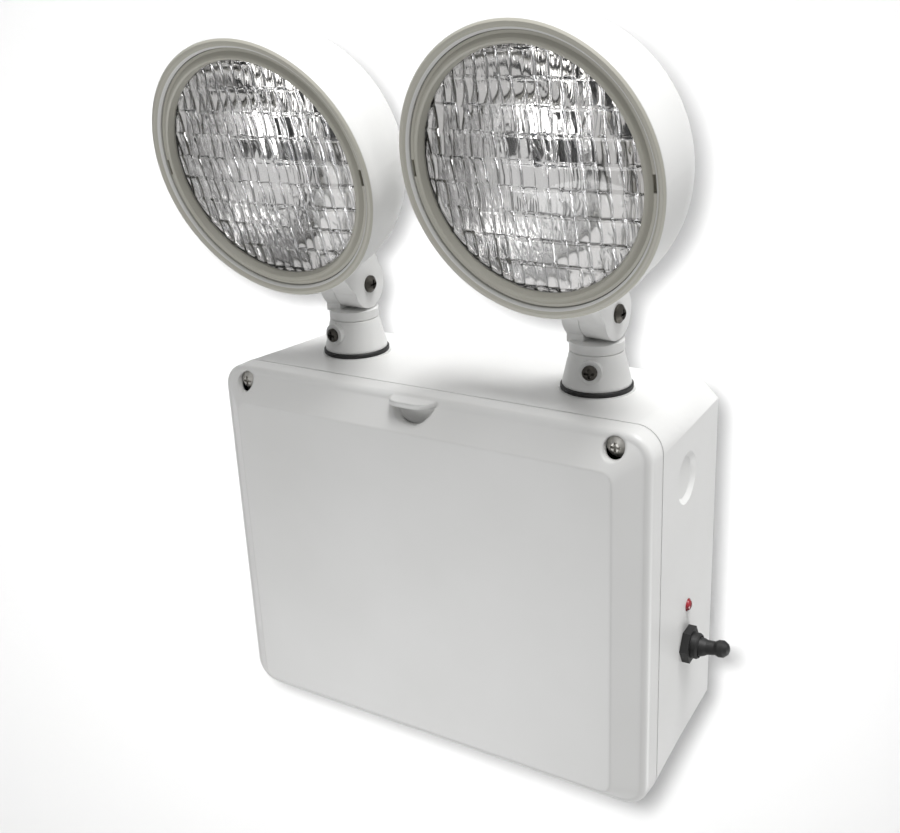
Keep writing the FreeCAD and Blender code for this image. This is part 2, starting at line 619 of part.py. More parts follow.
def makeSwivelBase(side, name, setTurn):
    seat = swivelSeat(side)
    gasket = newBody(f"{name}_swivel_gasket")
    turned(gasket, "XZ_Plane", "Form",
           [(d.stemRadius + d.stemClear, 0), (d.gasketRadius - 0.4, 0), (d.gasketRadius, 0.4),
            (d.gasketRadius, d.gasketThick - 0.4), (d.gasketRadius - 0.4, d.gasketThick),
            (d.stemRadius + d.stemClear, d.gasketThick)])
    put(gasket, seat)

    base = newBody(f"{name}_swivel_base")
    bore = d.spigotRadius + d.spigotClear
    high = d.gasketThick + d.coneHeight
    floor = high - d.spigotLength - 0.5
    boss = newSketch(base, "XZ_Plane", "SetBoss")
    circle(boss, 0, d.gasketThick + d.setScrewHeight, d.setBoss)
    feature(base, "Pad", boss, "SetBossPad", d.setBossReach)
    turned(base, "XZ_Plane", "Cone",
           [(0, -d.stemLength), (d.stemRadius, -d.stemLength), (d.stemRadius, d.gasketThick),
            (d.coneBottom, d.gasketThick),
            (d.coneBottom, d.gasketThick + 1.2), (d.coneTop, high - 0.4), (d.coneTop - 0.4, high), (0, high)])
    turned(base, "XZ_Plane", "Bore",
           [(0, -d.stemLength), (d.wireBore, -d.stemLength), (d.wireBore, floor), (bore, floor),
            (bore, high), (0, high)],
           kind="Groove")
    hole = newSketch(base, "XZ_Plane", "SetHole")
    circle(hole, 0, d.gasketThick + d.setScrewHeight, d.setScrewRadius + 0.1)
    feature(base, "Pocket", hole, "SetBore", d.setBossReach + 1, backward=True)
    put(base, seat, move(turn=setTurn))

    screw = newBody(f"{name}_set_screw")
    tip, under = d.spigotRadius + d.spigotClear, d.setBossReach
    outer = under + d.setScrewThick
    turned(screw, "XY_Plane", "Form",
           [(0, -tip), (d.setScrewRadius, -tip), (d.setScrewRadius, -under), (d.setScrewHead, -under),
            (d.setScrewHead, -(under + d.setScrewThick * 0.6)), (d.setScrewHead * 0.6, -outer), (0, -outer)])
    crossRecess(screw, "Drive", "XZ_Plane", outer, False)
    put(screw, seat, move(turn=setTurn), move(z=d.gasketThick + d.setScrewHeight))

    nut = newBody(f"{name}_locknut")
    low = -d.seatThick - d.locknutThick
    hexSketch = outline(newSketch(nut, "XY_Plane", "Hex", low), hexagon(d.locknutFlats))
    feature(nut, "Pad", hexSketch, "HexPad", d.locknutThick)
    hole = circle(newSketch(nut, "XY_Plane", "Thread", low), 0, 0, d.stemRadius + d.threadClear)
    feature(nut, "Pocket", hole, "ThreadBore", d.locknutThick, backward=True)
    put(nut, seat)


def makeNeck(side, name, turn):
    """The part that turns in the cone and carries the head on one ear."""
    foot = move(side * d.swivelSpacing / 2, d.swivelBack - seam,
                top + d.seatRise + d.gasketThick + d.coneHeight, turn=turn)
    neck = newBody(f"{name}_swivel_neck")
    lift = 0.1
    turned(neck, "XZ_Plane", "Body",
           [(0, -d.spigotLength), (d.spigotRadius - 1, -d.spigotLength), (d.spigotRadius,
                                                                          -d.spigotLength + 1),
            (d.spigotRadius, lift), (d.neckRadius - 0.5, lift), (d.neckRadius, lift + 0.6),
            (d.neckRadius, d.ledgeHeight),
            (0, d.ledgeHeight)])
    ear = newSketch(neck, "YZ_Plane", "Ear", -d.earOuter)
    circle(ear, 0, d.pivotHeight, d.earRadius)
    feature(neck, "Pad", ear, "EarPad", d.earOuter - d.earInner)
    web = newSketch(neck, "YZ_Plane", "EarWeb", -d.earOuter)
    reach = d.neckRadius - 5.5
    outline(web, block(-reach, reach, d.ledgeHeight - 1, d.pivotHeight))
    feature(neck, "Pad", web, "EarWebPad", d.earOuter - d.earInner)
    pin = circle(newSketch(neck, "YZ_Plane", "PivotHole", -d.earOuter - 1), 0, d.pivotHeight,
                 d.pivotRadius + d.pivotClear)
    feature(neck, "Pocket", pin, "PivotBore", d.earOuter, backward=True)
    pocket = newSketch(neck, "YZ_Plane", "NutPocket", -d.earOuter)
    outline(pocket, [(x, z + d.pivotHeight) for x, z in hexagon(d.pivotNutFlats + 2 * d.nutClear)])
    feature(neck, "Pocket", pocket, "NutPocketCut", d.pivotNutThick, backward=True)
    wire = circle(newSketch(neck, "XY_Plane", "Wire", -d.spigotLength), 0, 0, d.wireBore - 1)
    feature(neck, "Pocket", wire, "WireBore", d.spigotLength + d.ledgeHeight - 2, backward=True)
    put(neck, foot)

    pivot = newBody(f"{name}_pivot_screw")
    head = d.lugOuter + d.pivotHeadThick
    turned(pivot, "XY_Plane", "Form",
           [(-d.earOuter, 0), (-d.earOuter, d.pivotRadius), (d.lugOuter, d.pivotRadius),
            (d.lugOuter, d.pivotHead),
            (head - d.pivotHeadThick * 0.6, d.pivotHead), (head, d.pivotHead * 0.55), (head, 0)],
            axis="H_Axis")
    crossRecess(pivot, "Drive", "YZ_Plane", head, False)
    put(pivot, foot, move(z=d.pivotHeight))

    nut = newBody(f"{name}_pivot_nut")
    hexSketch = outline(newSketch(nut, "YZ_Plane", "Hex", -d.earOuter), hexagon(d.pivotNutFlats))
    feature(nut, "Pad", hexSketch, "HexPad", d.pivotNutThick)
    hole = circle(newSketch(nut, "YZ_Plane", "Thread", -d.earOuter), 0, 0, d.pivotRadius + d.pivotClear)
    feature(nut, "Pocket", hole, "ThreadBore", d.pivotNutThick, backward=True)
    put(nut, foot, move(z=d.pivotHeight))


# ---------------------------------------------------------------- lamp heads

def headFrame(side, turn, lift):
    """Frame of a head: origin in the middle of its front ring, facing -Y."""
    pivot = move(side * d.swivelSpacing / 2, d.swivelBack - seam,
                 top + d.seatRise + d.gasketThick + d.coneHeight + d.pivotHeight, turn=turn)
    return pivot, move(axis=(1, 0, 0), turn=-lift), move(0, -d.ringReach, d.ringRise)


def makeShell(name, frame):
    body = newBody(f"{name}_head_shell")
    disc = newSketch(body, "YZ_Plane", "Knuckle", -(d.earInner - d.knuckleGap))
    circle(disc, d.ringReach, -d.ringRise, d.earRadius)
    feature(body, "Pad", disc, "KnucklePad", d.lugOuter + d.earInner - d.knuckleGap)
    arm = newSketch(body, "YZ_Plane", "Arm", -(d.earInner - d.knuckleGap))
    outline(arm, lugOutline(sized(0), d.earRadius))
    feature(body, "Pad", arm, "ArmPad", d.lugOuter + d.earInner - d.knuckleGap)
    saddle = newSketch(body, "YZ_Plane", "Saddle", -d.earOuter)
    outline(saddle, lugOutline(d.saddleLow, d.earRadius - 1))
    feature(body, "Pad", saddle, "SaddlePad", d.earOuter - d.earInner + d.knuckleGap)
    room = newSketch(body, "YZ_Plane", "EarRoom", -d.earOuter - 1)
    circle(room, d.ringReach, -d.ringRise, d.saddleRadius)
    feature(body, "Pocket", room, "EarRoomCut", d.earOuter + 1 - d.earInner + d.knuckleGap, backward=True)

    turned(body, "XY_Plane", "Drum", drumOutline(d.drumRadius, sized(0), rimRadius))
    turned(body, "XY_Plane", "Hollow", hollowOutline(), kind="Groove")
    pin = circle(newSketch(body, "YZ_Plane", "PivotHole", -d.earOuter), d.ringReach, -d.ringRise,
                 d.pivotRadius + d.pivotClear)
    feature(body, "Pocket", pin, "PivotBore", d.earOuter + d.lugOuter + 1, backward=True)
    put(body, *frame)


def lugOutline(low, reach):
    y, z = d.ringReach, -d.ringRise
    return [(y - reach - low * 0.55, z + low), (y + reach - low * 0.2, z + low),
            (y + d.lugBack, z + d.lugBackRise),
            (y - d.lugFront + 6, z + d.lugBackRise), (y - d.lugFront, z + d.lugFrontRise)]


def drumOutline(radius, front, lip):
    """Half section of the outside of the drum, from the front edge to the back."""
    back = d.drumStraight + d.drumRound
    return [(0, front), (lip - 1.2, front), (lip, front + 1.2), (lip, front + d.rimLip),
            (radius, front + d.rimLip + 0.8),
            (radius, back, d.drumRound), (0, back)]


def hollowOutline():
    inner, shelf = d.drumRadius - d.headWall, d.shelfDepth + d.shelfThick
    back = d.drumStraight + d.drumRound - d.headWall
    return [(0, 0), (openingRadius + d.rimSlope, 0), (openingRadius, d.rimSlope),
            (openingRadius, d.shelfDepth),
            (shelfRadius, d.shelfDepth), (shelfRadius, shelf), (inner, shelf + d.headWall),
            (inner, back, d.drumRound - d.headWall), (0, back)]


def makeBezel(name, frame):
    body = newBody(f"{name}_bezel")
    turned(body, "XY_Plane", "Ring",
           [(bezelInner, d.lensFront), (bezelInner, d.bezelInnerFront), (beadRadius - 1, d.beadFront + 0.4),
            (beadRadius, d.beadFront), (beadRadius + 1, d.beadFront + 0.5), (grooveRadius, d.grooveFront),
            (bezelRadius, d.grooveFront), (bezelRadius, d.lensFront)])
    slots = newSketch(body, "XZ_Plane", "PrySlots", -d.grooveFront)
    mid = (grooveRadius + bezelRadius) / 2 - 0.3
    for side in (-1, 1):
        outline(slots, block(side * mid - d.slotWide / 2, side * mid + d.slotWide / 2, -d.slotLong / 2,
                             d.slotLong / 2))
    feature(body, "Pocket", slots, "PrySlotCuts", d.slotDeep)
    put(body, *frame)


def makeLens(name, frame):
    """Clear lens with a flange, a bowed front face and upright flutes behind."""
    body = newBody(f"{name}_lens")
    rear = d.lensFront + d.lensThick
    turned(body, "XY_Plane", "Disc",
           [(0, d.lensFaceFront - d.lensDome), (lensFaceRadius * 0.35, d.lensFaceFront - d.lensDome * 0.88),
            (lensFaceRadius * 0.7, d.lensFaceFront - d.lensDome * 0.52), (lensFaceRadius, d.lensFaceFront),
            (lensFaceRadius, d.lensFront), (lensRadius, d.lensFront), (lensRadius, rear), (0, rear)])
    flute = newSketch(body, "XY_Plane", "Flute")
    start = d.flutePitch * (d.fluteCount - 1) / 2
    outline(flute, [(-start - d.flutePitch * 0.42, rear + 0.1), (-start, rear - d.fluteDepth),
                    (-start + d.flutePitch * 0.42, rear + 0.1)])
    cut = feature(body, "Pocket", flute, "FluteCut", reflectorRadius * 1.3, both=True)
    pattern = body.newObject("PartDesign::LinearPattern", "Flutes")
    pattern.Originals = [cut]
    pattern.Direction = (flute, ["H_Axis"])
    bind(pattern, "Length", d.flutePitch * (d.fluteCount - 1))
    bind(pattern, "Occurrences", d.fluteCount)
    body.Tip = pattern
    put(body, *frame)


def makeLampInside(name, frame):
    seal = newBody(f"{name}_lens_seal")
    low = d.lensFront + d.lensThick
    turned(seal, "XY_Plane", "Ring", block(shelfRadius + d.lampSealClear, openingRadius - d.lampSealClear,
                                           low, d.shelfDepth))
    put(seal, *frame)

    dish = newBody(f"{name}_reflector")
    rim, deep, wall = reflectorRadius, d.reflectorDeep, d.reflectorWall
    steps = 6
    curve = [(d.reflectorNeck + (rim - 3 - d.reflectorNeck) * (k / steps),
              low + wall + deep * (1 - (k / steps) ** 2)) for k in range(steps + 1)]
    outside = [(r + wall, y + wall * 0.6) for r, y in reversed(curve)]
    turned(dish, "XY_Plane", "Dish",
           curve + [(rim - 3, low), (rim, low), (rim, low + wall)] + [(rim - 3 + wall,
                                                                       low + wall)] + outside[1:])
    put(dish, *frame)

    bulb = newBody(f"{name}_bulb")
    seat = low + wall + deep
    r = d.bulbRadius
    turned(bulb, "XY_Plane", "Glass",
           [(0, seat - d.bulbLong), (r * 0.7, seat - d.bulbLong + 1.2), (r, seat - d.bulbLong + 4.5),
            (r, seat - 8), (r * 0.6, seat - 4), (r * 0.6, seat), (0, seat)])
    put(bulb, *frame)

    holder = newBody(f"{name}_bulb_holder")
    back = seat + d.holderLong - 4
    turned(holder, "XY_Plane", "Socket",
           [(r * 0.6 + 0.1, seat - 4), (d.holderRadius, seat - 4), (d.holderRadius, back), (0, back),
            (0, seat + 0.1),
            (r * 0.6 + 0.1, seat + 0.1)])
    put(holder, *frame)


# ---------------------------------------------------------------- inside the housing

def slab(name, role, start, thick, corners, radius=None):
    body = newBody(name)
    left, right, low, high = corners
    sketch = outline(newSketch(body, role, "Face", start), block(left, right, low, high, radius))
    feature(body, "Pad", sketch, "FacePad", thick)
    return body


def makeBattery():
    low = bottom + d.batteryFloor
    left, right = d.batteryX - d.batteryLong / 2, d.batteryX + d.batteryLong / 2
    body = slab("battery", "XZ_Plane", d.batteryBack, d.batteryDeep, (left, right, low,
                                                                      low + d.batteryHigh), sized(2))
    tabs = newSketch(body, "XY_Plane", "Terminals", low + d.batteryHigh)
    near = -d.batteryBack - d.terminalInset
    for x in (left + d.terminalFirst, left + d.terminalSecond):
        outline(tabs, block(x, x + d.terminalThick, near, near + d.terminalLong))
    feature(body, "Pad", tabs, "TerminalTabs", d.terminalHigh)

    strap = newBody("battery_strap")
    high = low + d.batteryHigh
    front = -(d.batteryBack + d.batteryDeep)
    thick = d.strapThick
    wall = -d.wallThick
    side = newSketch(strap, "YZ_Plane", "Bend", d.batteryX + d.batteryLong * 0.1)
    outline(side, [(wall, high + d.strapUp), (wall - thick, high + d.strapUp), (wall - thick, high + thick),
                   (front - thick, high + thick), (front - thick, high - d.strapDrop),
                   (front, high - d.strapDrop),
                   (front, high), (wall, high)])
    feature(strap, "Pad", side, "BendPad", d.strapWide)


def makeBoard():
    rear = d.wallThick + d.postHigh
    left, right = d.boardX - d.boardLong / 2, d.boardX + d.boardLong / 2
    low, high = d.boardZ - d.boardHigh / 2, d.boardZ + d.boardHigh / 2
    board = slab("circuit_board", "XZ_Plane", rear, d.boardThick, (left, right, low, high), sized(2))
    holes = newSketch(board, "XZ_Plane", "Holes", rear)
    for x, z in boardCorners():
        circle(holes, x, z, d.boardScrew + 0.2)
    feature(board, "Pocket", holes, "HoleCuts", d.boardThick, backward=True)
    face = rear + d.boardThick
    slab("terminal_block", "XZ_Plane", face, d.blockDeep,
         (left + d.blockInset, left + d.blockInset + d.blockLong, low + d.blockUp,
          low + d.blockUp + d.blockHigh))
    heatsink = slab("heat_sink", "XZ_Plane", face, d.sinkDeep,
                    (right - d.sinkInset - d.sinkLong, right - d.sinkInset, low + d.sinkUp,
                     low + d.sinkUp + d.sinkHigh))
    fins = newSketch(heatsink, "XZ_Plane", "Fins", face + 2)
    for k in range(4):
        x = right - d.sinkInset - d.sinkLong + d.finFirst + d.finPitch * k
        outline(fins, block(x, x + 3, low + 5, low + 7 + d.sinkHigh))
    feature(heatsink, "Pocket", fins, "FinCuts", d.sinkDeep, backward=True)
    capacitor = newBody("capacitor")
    can = circle(newSketch(capacitor, "XZ_Plane", "Can", face), d.boardX, d.boardZ + 12, d.capRadius)
    feature(capacitor, "Pad", can, "CanPad", d.capHigh)

    screws = []
    for i, (x, z) in enumerate(boardCorners()):
        screw = newBody(f"BoardScrew{i}")
        turned(screw, "XY_Plane", "Form",
               [(0, -(face + 2)), (d.boardScrewHead * 0.7, -(face + 2)), (d.boardScrewHead, -(face + 0.8)),
                (d.boardScrewHead, -face), (d.boardScrew - 0.02, -face),
                (d.boardScrew - 0.02, -(face + 1.5 - d.boardScrewLong)), (0,
                                                                          -(face + 0.5 - d.boardScrewLong))])
        put(screw, move(x, 0, z))
        screws.append(screw)
    return screws


def makeTransformer():
    body = newBody("transformer")
    low, high = d.coreZ - d.coreHigh / 2, d.coreZ + d.coreHigh / 2
    middle = d.wallThick + d.coilDeep / 2
    core = newSketch(body, "XZ_Plane", "Core", middle - d.coreDeep / 2)
    outline(core, block(d.coreX - d.coreLong / 2, d.coreX + d.coreLong / 2, low, high))
    feature(body, "Pad", core, "CorePad", d.coreDeep)
    coil = newSketch(body, "XZ_Plane", "Coil", d.wallThick)
    outline(coil, block(d.coreX - d.coilLong / 2, d.coreX + d.coilLong / 2, low + 8, high - 8, sized(3)))
    feature(body, "Pad", coil, "CoilPad", d.coilDeep)


# ---------------------------------------------------------------- assembly and export

def solidsOf(parts):
    return parts[0].Shape if len(parts) == 1 else Part.makeCompound([item.Shape for item in parts])


makeHousing()
makeCover()
makeSeal()
groups = {"cover_screws": makeScrews()}
makeIndicator()
makeSwitch()
for side, name, turn, lift, setTurn in ((-1, "left", d.leftTurn, d.leftLift, d.leftSetTurn),
                                        (1, "right", d.rightTurn, d.rightLift, d.rightSetTurn)):
    makeSwivelBase(side, name, setTurn)
    makeNeck(side, name, turn)
    frame = headFrame(side, turn, lift)
    makeShell(name, frame)
    makeBezel(name, frame)
    makeLens(name, frame)
    makeLampInside(name, frame)
makeBattery()
groups["board_screws"] = makeBoard()
makeTransformer()
doc.recompute()

for item in doc.Objects:
    if "Invalid" in item.State or "Error" in item.State:
        raise RuntimeError(f"{item.Name} ({item.Label}) did not build: {item.State}")

grouped = [item for parts in groups.values() for item in parts]
nodes = {item.Label: [item] for item in doc.Objects
         if item.TypeId == "PartDesign::Body" and item not in grouped}
nodes.update(groups)
os.makedirs("parts", exist_ok=True)
for name, parts in nodes.items():
    shape = solidsOf(parts)
    if shape.isNull() or not shape.isValid():
        raise RuntimeError(f"{name} has no valid shape")
    if len(shape.Solids) != len(parts):
        raise RuntimeError(f"{name} has {len(shape.Solids)} solids, not {len(parts)}")
for name, parts in nodes.items():
    solidsOf(parts).exportStep(f"parts/{name}.step")
print(len(nodes), "nodes written")
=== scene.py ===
# Emergency light with two aimable lamp heads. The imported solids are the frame, and this script
# adds the finishes, the prismatic lenses, the mirror dishes and the bulbs' filaments.
import json
import math

import bmesh
import bpy
import numpy as np
from mathutils import Euler, Matrix, Vector


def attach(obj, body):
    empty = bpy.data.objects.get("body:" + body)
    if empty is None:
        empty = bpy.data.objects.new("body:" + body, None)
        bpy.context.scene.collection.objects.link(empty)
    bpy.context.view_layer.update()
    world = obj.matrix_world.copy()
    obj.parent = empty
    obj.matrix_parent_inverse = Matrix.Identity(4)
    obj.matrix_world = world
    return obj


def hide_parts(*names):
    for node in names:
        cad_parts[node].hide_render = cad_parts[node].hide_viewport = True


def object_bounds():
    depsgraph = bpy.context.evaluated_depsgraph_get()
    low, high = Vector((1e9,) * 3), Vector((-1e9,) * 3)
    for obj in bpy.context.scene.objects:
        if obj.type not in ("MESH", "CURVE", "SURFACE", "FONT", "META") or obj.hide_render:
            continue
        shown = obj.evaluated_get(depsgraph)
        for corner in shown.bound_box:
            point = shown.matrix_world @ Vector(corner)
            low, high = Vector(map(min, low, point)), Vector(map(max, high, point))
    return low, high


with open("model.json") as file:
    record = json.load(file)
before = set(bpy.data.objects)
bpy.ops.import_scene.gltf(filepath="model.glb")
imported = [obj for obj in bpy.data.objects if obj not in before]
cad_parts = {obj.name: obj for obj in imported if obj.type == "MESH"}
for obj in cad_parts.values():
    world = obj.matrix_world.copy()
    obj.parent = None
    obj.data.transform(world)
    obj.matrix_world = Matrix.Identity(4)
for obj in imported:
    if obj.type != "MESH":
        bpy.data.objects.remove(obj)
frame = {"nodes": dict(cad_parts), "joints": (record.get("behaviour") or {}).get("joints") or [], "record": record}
nodes = frame["nodes"]
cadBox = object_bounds()
mm = 0.001
print("frame loaded:", len(nodes), "nodes")


# small helpers

def linear(hexText):
    # sRGB hex to the linear values that the shaders take
    parts = [int(hexText[i:i + 2], 16) / 255 for i in (1, 3, 5)]
    return tuple(c / 12.92 if c <= 0.04045 else ((c + 0.055) / 1.055) ** 2.4 for c in parts) + (1.0,)


def addNode(tree, kind, settings=None, links=None):
    # settings fill sockets by name or number, or the node's own options; links join other nodes' outputs
    node = tree.nodes.new(kind)
    for key, value in (settings or {}).items():
        if isinstance(key, int) or key in node.inputs:
            node.inputs[key].default_value = value
        else:
            setattr(node, key, value)
    for key, output in (links or {}).items():
        tree.links.new(output, node.inputs[key])
    return node


def newMaterial(name, settings):
    # a material with its shader joined to the output
    material = bpy.data.materials.new(name)
    material.use_nodes = True
    tree = material.node_tree
    tree.nodes.clear()
    shader = addNode(tree, "ShaderNodeBsdfPrincipled", settings)
    addNode(tree, "ShaderNodeOutputMaterial", links={"Surface": shader.outputs[0]})
    return material, tree, shader


def blendColours(tree, shader, factor, first, second):
    mix = addNode(tree, "ShaderNodeMix", {"data_type": "RGBA"}, {0: factor})
    mix.inputs[6].default_value = linear(first)
    mix.inputs[7].default_value = linear(second)
    tree.links.new(mix.outputs[2], shader.inputs["Base Color"])


def spreadValue(tree, shader, socket, factor, low, high):
    spread = addNode(tree, "ShaderNodeMapRange", {"To Min": low, "To Max": high}, {"Value": factor})
    tree.links.new(spread.outputs[0], shader.inputs[socket])


# white ABS, injection moulded

absLook = {
    "fresh": "#E9E9E8", "handled": "#DEDEDC",
    # ring tones are painted shade: white ABS drawn grey-beige where the rings face forward and down
    "ring": "#BFBDB2", "ringShadeHandled": "#B5B3A8",
    "grainMm": 0.5,          # the tool's spark-eroded grain is about 0.1 mm, drawn coarser so that it shows
    "grainDepthMm": 0.05,
    "glossier": 0.06, "duller": 0.08,    # how far the roughness strays from its middle
    "flowMm": 60,            # slow shade changes where the melt met
    "edgeMm": 0.5,           # radius that every moulded edge has
    "coverEdgeMm": 2.2,      # the raised panel of the front cover runs into its bevels more softly
}


def makeMouldedAbs(name, fresh, handled, roughness, grain, edgeMm=absLook["edgeMm"]):
    # injection-moulded ABS: off-white, a soft satin sheen with a faint grain, edges that catch the light
    material, tree, shader = newMaterial(name, {"IOR": 1.53, "Roughness": roughness})
    place = addNode(tree, "ShaderNodeTexCoord")
    flow = addNode(tree, "ShaderNodeTexNoise", {"Scale": 1000 / absLook["flowMm"], "Detail": 3},
                   {"Vector": place.outputs["Object"]})
    blendColours(tree, shader, flow.outputs["Fac"], fresh, handled)
    fine = addNode(tree, "ShaderNodeTexNoise", {"Scale": 1000 / absLook["grainMm"], "Detail": 2},
                   {"Vector": place.outputs["Object"]})
    spreadValue(tree, shader, "Roughness", fine.outputs["Fac"],
                roughness - absLook["glossier"], roughness + absLook["duller"])
    edge = addNode(tree, "ShaderNodeBevel", {"Radius": edgeMm * mm, "samples": 8})
    bump = addNode(tree, "ShaderNodeBump", {"Strength": grain, "Distance": absLook["grainDepthMm"] * mm},
                   {"Height": fine.outputs["Fac"], "Normal": edge.outputs[0]})
    tree.links.new(bump.outputs[0], shader.inputs["Normal"])
    return material


# black neoprene, moulded

rubberLook = {
    "black": "#0B0B0C", "dusty": "#161616", "dustMm": 3,
    "clean": 0.42, "bloomed": 0.66,      # roughness without and with the bloom
    "grainMm": 0.4, "grainDepthMm": 0.06,
}


def makeMouldedNeoprene(name):
    # compression-moulded neoprene: nearly black, dull, with a slight bloom of dust on it
    material, tree, shader = newMaterial(name, {"IOR": 1.52, "Roughness": 0.5})
    place = addNode(tree, "ShaderNodeTexCoord")
    dust = addNode(tree, "ShaderNodeTexNoise", {"Scale": 1000 / rubberLook["dustMm"], "Detail": 4},
                   {"Vector": place.outputs["Object"]})
    blendColours(tree, shader, dust.outputs["Fac"], rubberLook["black"], rubberLook["dusty"])
    spreadValue(tree, shader, "Roughness", dust.outputs["Fac"], rubberLook["clean"], rubberLook["bloomed"])
    grain = addNode(tree, "ShaderNodeTexNoise", {"Scale": 1000 / rubberLook["grainMm"]},
                    {"Vector": place.outputs["Object"]})
    bump = addNode(tree, "ShaderNodeBump", {"Strength": 0.25, "Distance": rubberLook["grainDepthMm"] * mm},
                   {"Height": grain.outputs["Fac"]})
    tree.links.new(bump.outputs[0], shader.inputs["Normal"])
    return material


# metals

metalLook = {
    "stainless": ("#8E8B85", "#6A6762", 0.3), "zinc": ("#C3C8CF", "#A9AEB8", 0.34),
    "stainlessBright": ("#DEDCD7", "#A7A5A0", 0.42), "stainlessDull": ("#5C5954", "#403E3A", 0.42),
    "aluminium": ("#D2D3D5", "#BFC0C2", 0.32), "laminations": ("#5A5450", "#3C3835", 0.5),
    "turnMm": 0.35, "turnDepthMm": 0.03,     # tool marks left by turning and heading
    "wearMm": 4,                             # patches that handling has dulled
    "glossier": 0.08, "duller": 0.12,
    "edgeMm": 0.2,
}


def makeWorkedMetal(name, bright, dull, roughness):
    # cold-headed or turned metal: fine marks that smear the highlight, duller where it is handled
    material, tree, shader = newMaterial(name, {"Metallic": 1.0, "Roughness": roughness})
    place = addNode(tree, "ShaderNodeTexCoord")
    marks = addNode(tree, "ShaderNodeTexNoise", {"Scale": 1000 / metalLook["turnMm"], "Detail": 3},
                    {"Vector": place.outputs["Object"]})
    wear = addNode(tree, "ShaderNodeTexNoise", {"Scale": 1000 / metalLook["wearMm"], "Detail": 2},
                   {"Vector": place.outputs["Object"]})
    blendColours(tree, shader, wear.outputs["Fac"], bright, dull)
    spreadValue(tree, shader, "Roughness", marks.outputs["Fac"],
                roughness - metalLook["glossier"], roughness + metalLook["duller"])
    edge = addNode(tree, "ShaderNodeBevel", {"Radius": metalLook["edgeMm"] * mm, "samples": 6})
    bump = addNode(tree, "ShaderNodeBump", {"Strength": 0.2, "Distance": metalLook["turnDepthMm"] * mm},
                   {"Height": marks.outputs["Fac"], "Normal": edge.outputs[0]})
    tree.links.new(bump.outputs[0], shader.inputs["Normal"])
    return material


mirrorLook = {"silver": "#F6F5F4", "clear": 0.03, "hazy": 0.1, "rippleMm": 9, "rippleDepthMm": 0.2}


def makeVacuumAluminised(name):
    # steel dish with vacuum-deposited aluminium: a bright mirror with a faint orange-peel waviness
    material, tree, shader = newMaterial(name, {"Metallic": 1.0, "Base Color": linear(mirrorLook["silver"])})
    place = addNode(tree, "ShaderNodeTexCoord")
    ripple = addNode(tree, "ShaderNodeTexNoise", {"Scale": 1000 / mirrorLook["rippleMm"], "Detail": 1},
                     {"Vector": place.outputs["Object"]})
    spreadValue(tree, shader, "Roughness", ripple.outputs["Fac"], mirrorLook["clear"], mirrorLook["hazy"])
    bump = addNode(tree, "ShaderNodeBump", {"Strength": 0.15, "Distance": mirrorLook["rippleDepthMm"] * mm},
                   {"Height": ripple.outputs["Fac"]})
    tree.links.new(bump.outputs[0], shader.inputs["Normal"])
    return material


# clear and tinted mouldings

glassLook = {"flowMm": 12, "flowDepthMm": 0.1}       # slow waves left by pressing and blowing


def makePressedGlass(name, tint, roughness, ior):
    # pressed or blown clear material: sharp highlights, light bends through its flutes
    material, tree, shader = newMaterial(
        name, {"IOR": ior, "Roughness": roughness, "Transmission Weight": 1.0, "Base Color": linear(tint)})
    place = addNode(tree, "ShaderNodeTexCoord")
    flow = addNode(tree, "ShaderNodeTexNoise", {"Scale": 1000 / glassLook["flowMm"], "Detail": 1},
                   {"Vector": place.outputs["Object"]})
    spreadValue(tree, shader, "Roughness", flow.outputs["Fac"], roughness * 0.5, roughness * 1.5)
    bump = addNode(tree, "ShaderNodeBump", {"Strength": 0.1, "Distance": glassLook["flowDepthMm"] * mm},
                   {"Height": flow.outputs["Fac"]})
    tree.links.new(bump.outputs[0], shader.inputs["Normal"])
    return material


# the darker red is painted shade at the dome's outline
epoxyLook = {"dome": "#A32330", "deep": "#4E0B13"}


def makeCastEpoxy(name):
    # cast epoxy dome of the indicator: red with a wet gloss, and painted shade darkening it towards its outline
    material, tree, shader = newMaterial(name, {"IOR": 1.5, "Roughness": 0.12, "Coat Weight": 0.4})
    rim = addNode(tree, "ShaderNodeLayerWeight", {"Blend": 0.4})
    blendColours(tree, shader, rim.outputs["Facing"], epoxyLook["dome"], epoxyLook["deep"])
    return material


boardLook = {"lacquer": "#1E5B33", "shaded": "#1A522E", "weaveMm": 1.2, "weaveDepthMm": 0.05}


def makeLacqueredBoard(name):
    # fibreglass board under solder lacquer: green, glossy, with the weave just telling through
    material, tree, shader = newMaterial(name, {"IOR": 1.5, "Roughness": 0.25})
    place = addNode(tree, "ShaderNodeTexCoord")
    weave = addNode(tree, "ShaderNodeTexChecker", {"Scale": 1000 / boardLook["weaveMm"]},
                    {"Vector": place.outputs["Object"]})
    blendColours(tree, shader, weave.outputs["Fac"], boardLook["lacquer"], boardLook["shaded"])
    bump = addNode(tree, "ShaderNodeBump", {"Strength": 0.1, "Distance": boardLook["weaveDepthMm"] * mm},
                   {"Height": weave.outputs["Fac"]})
    tree.links.new(bump.outputs[0], shader.inputs["Normal"])
    return material


# finishes, each given to the nodes of its slot

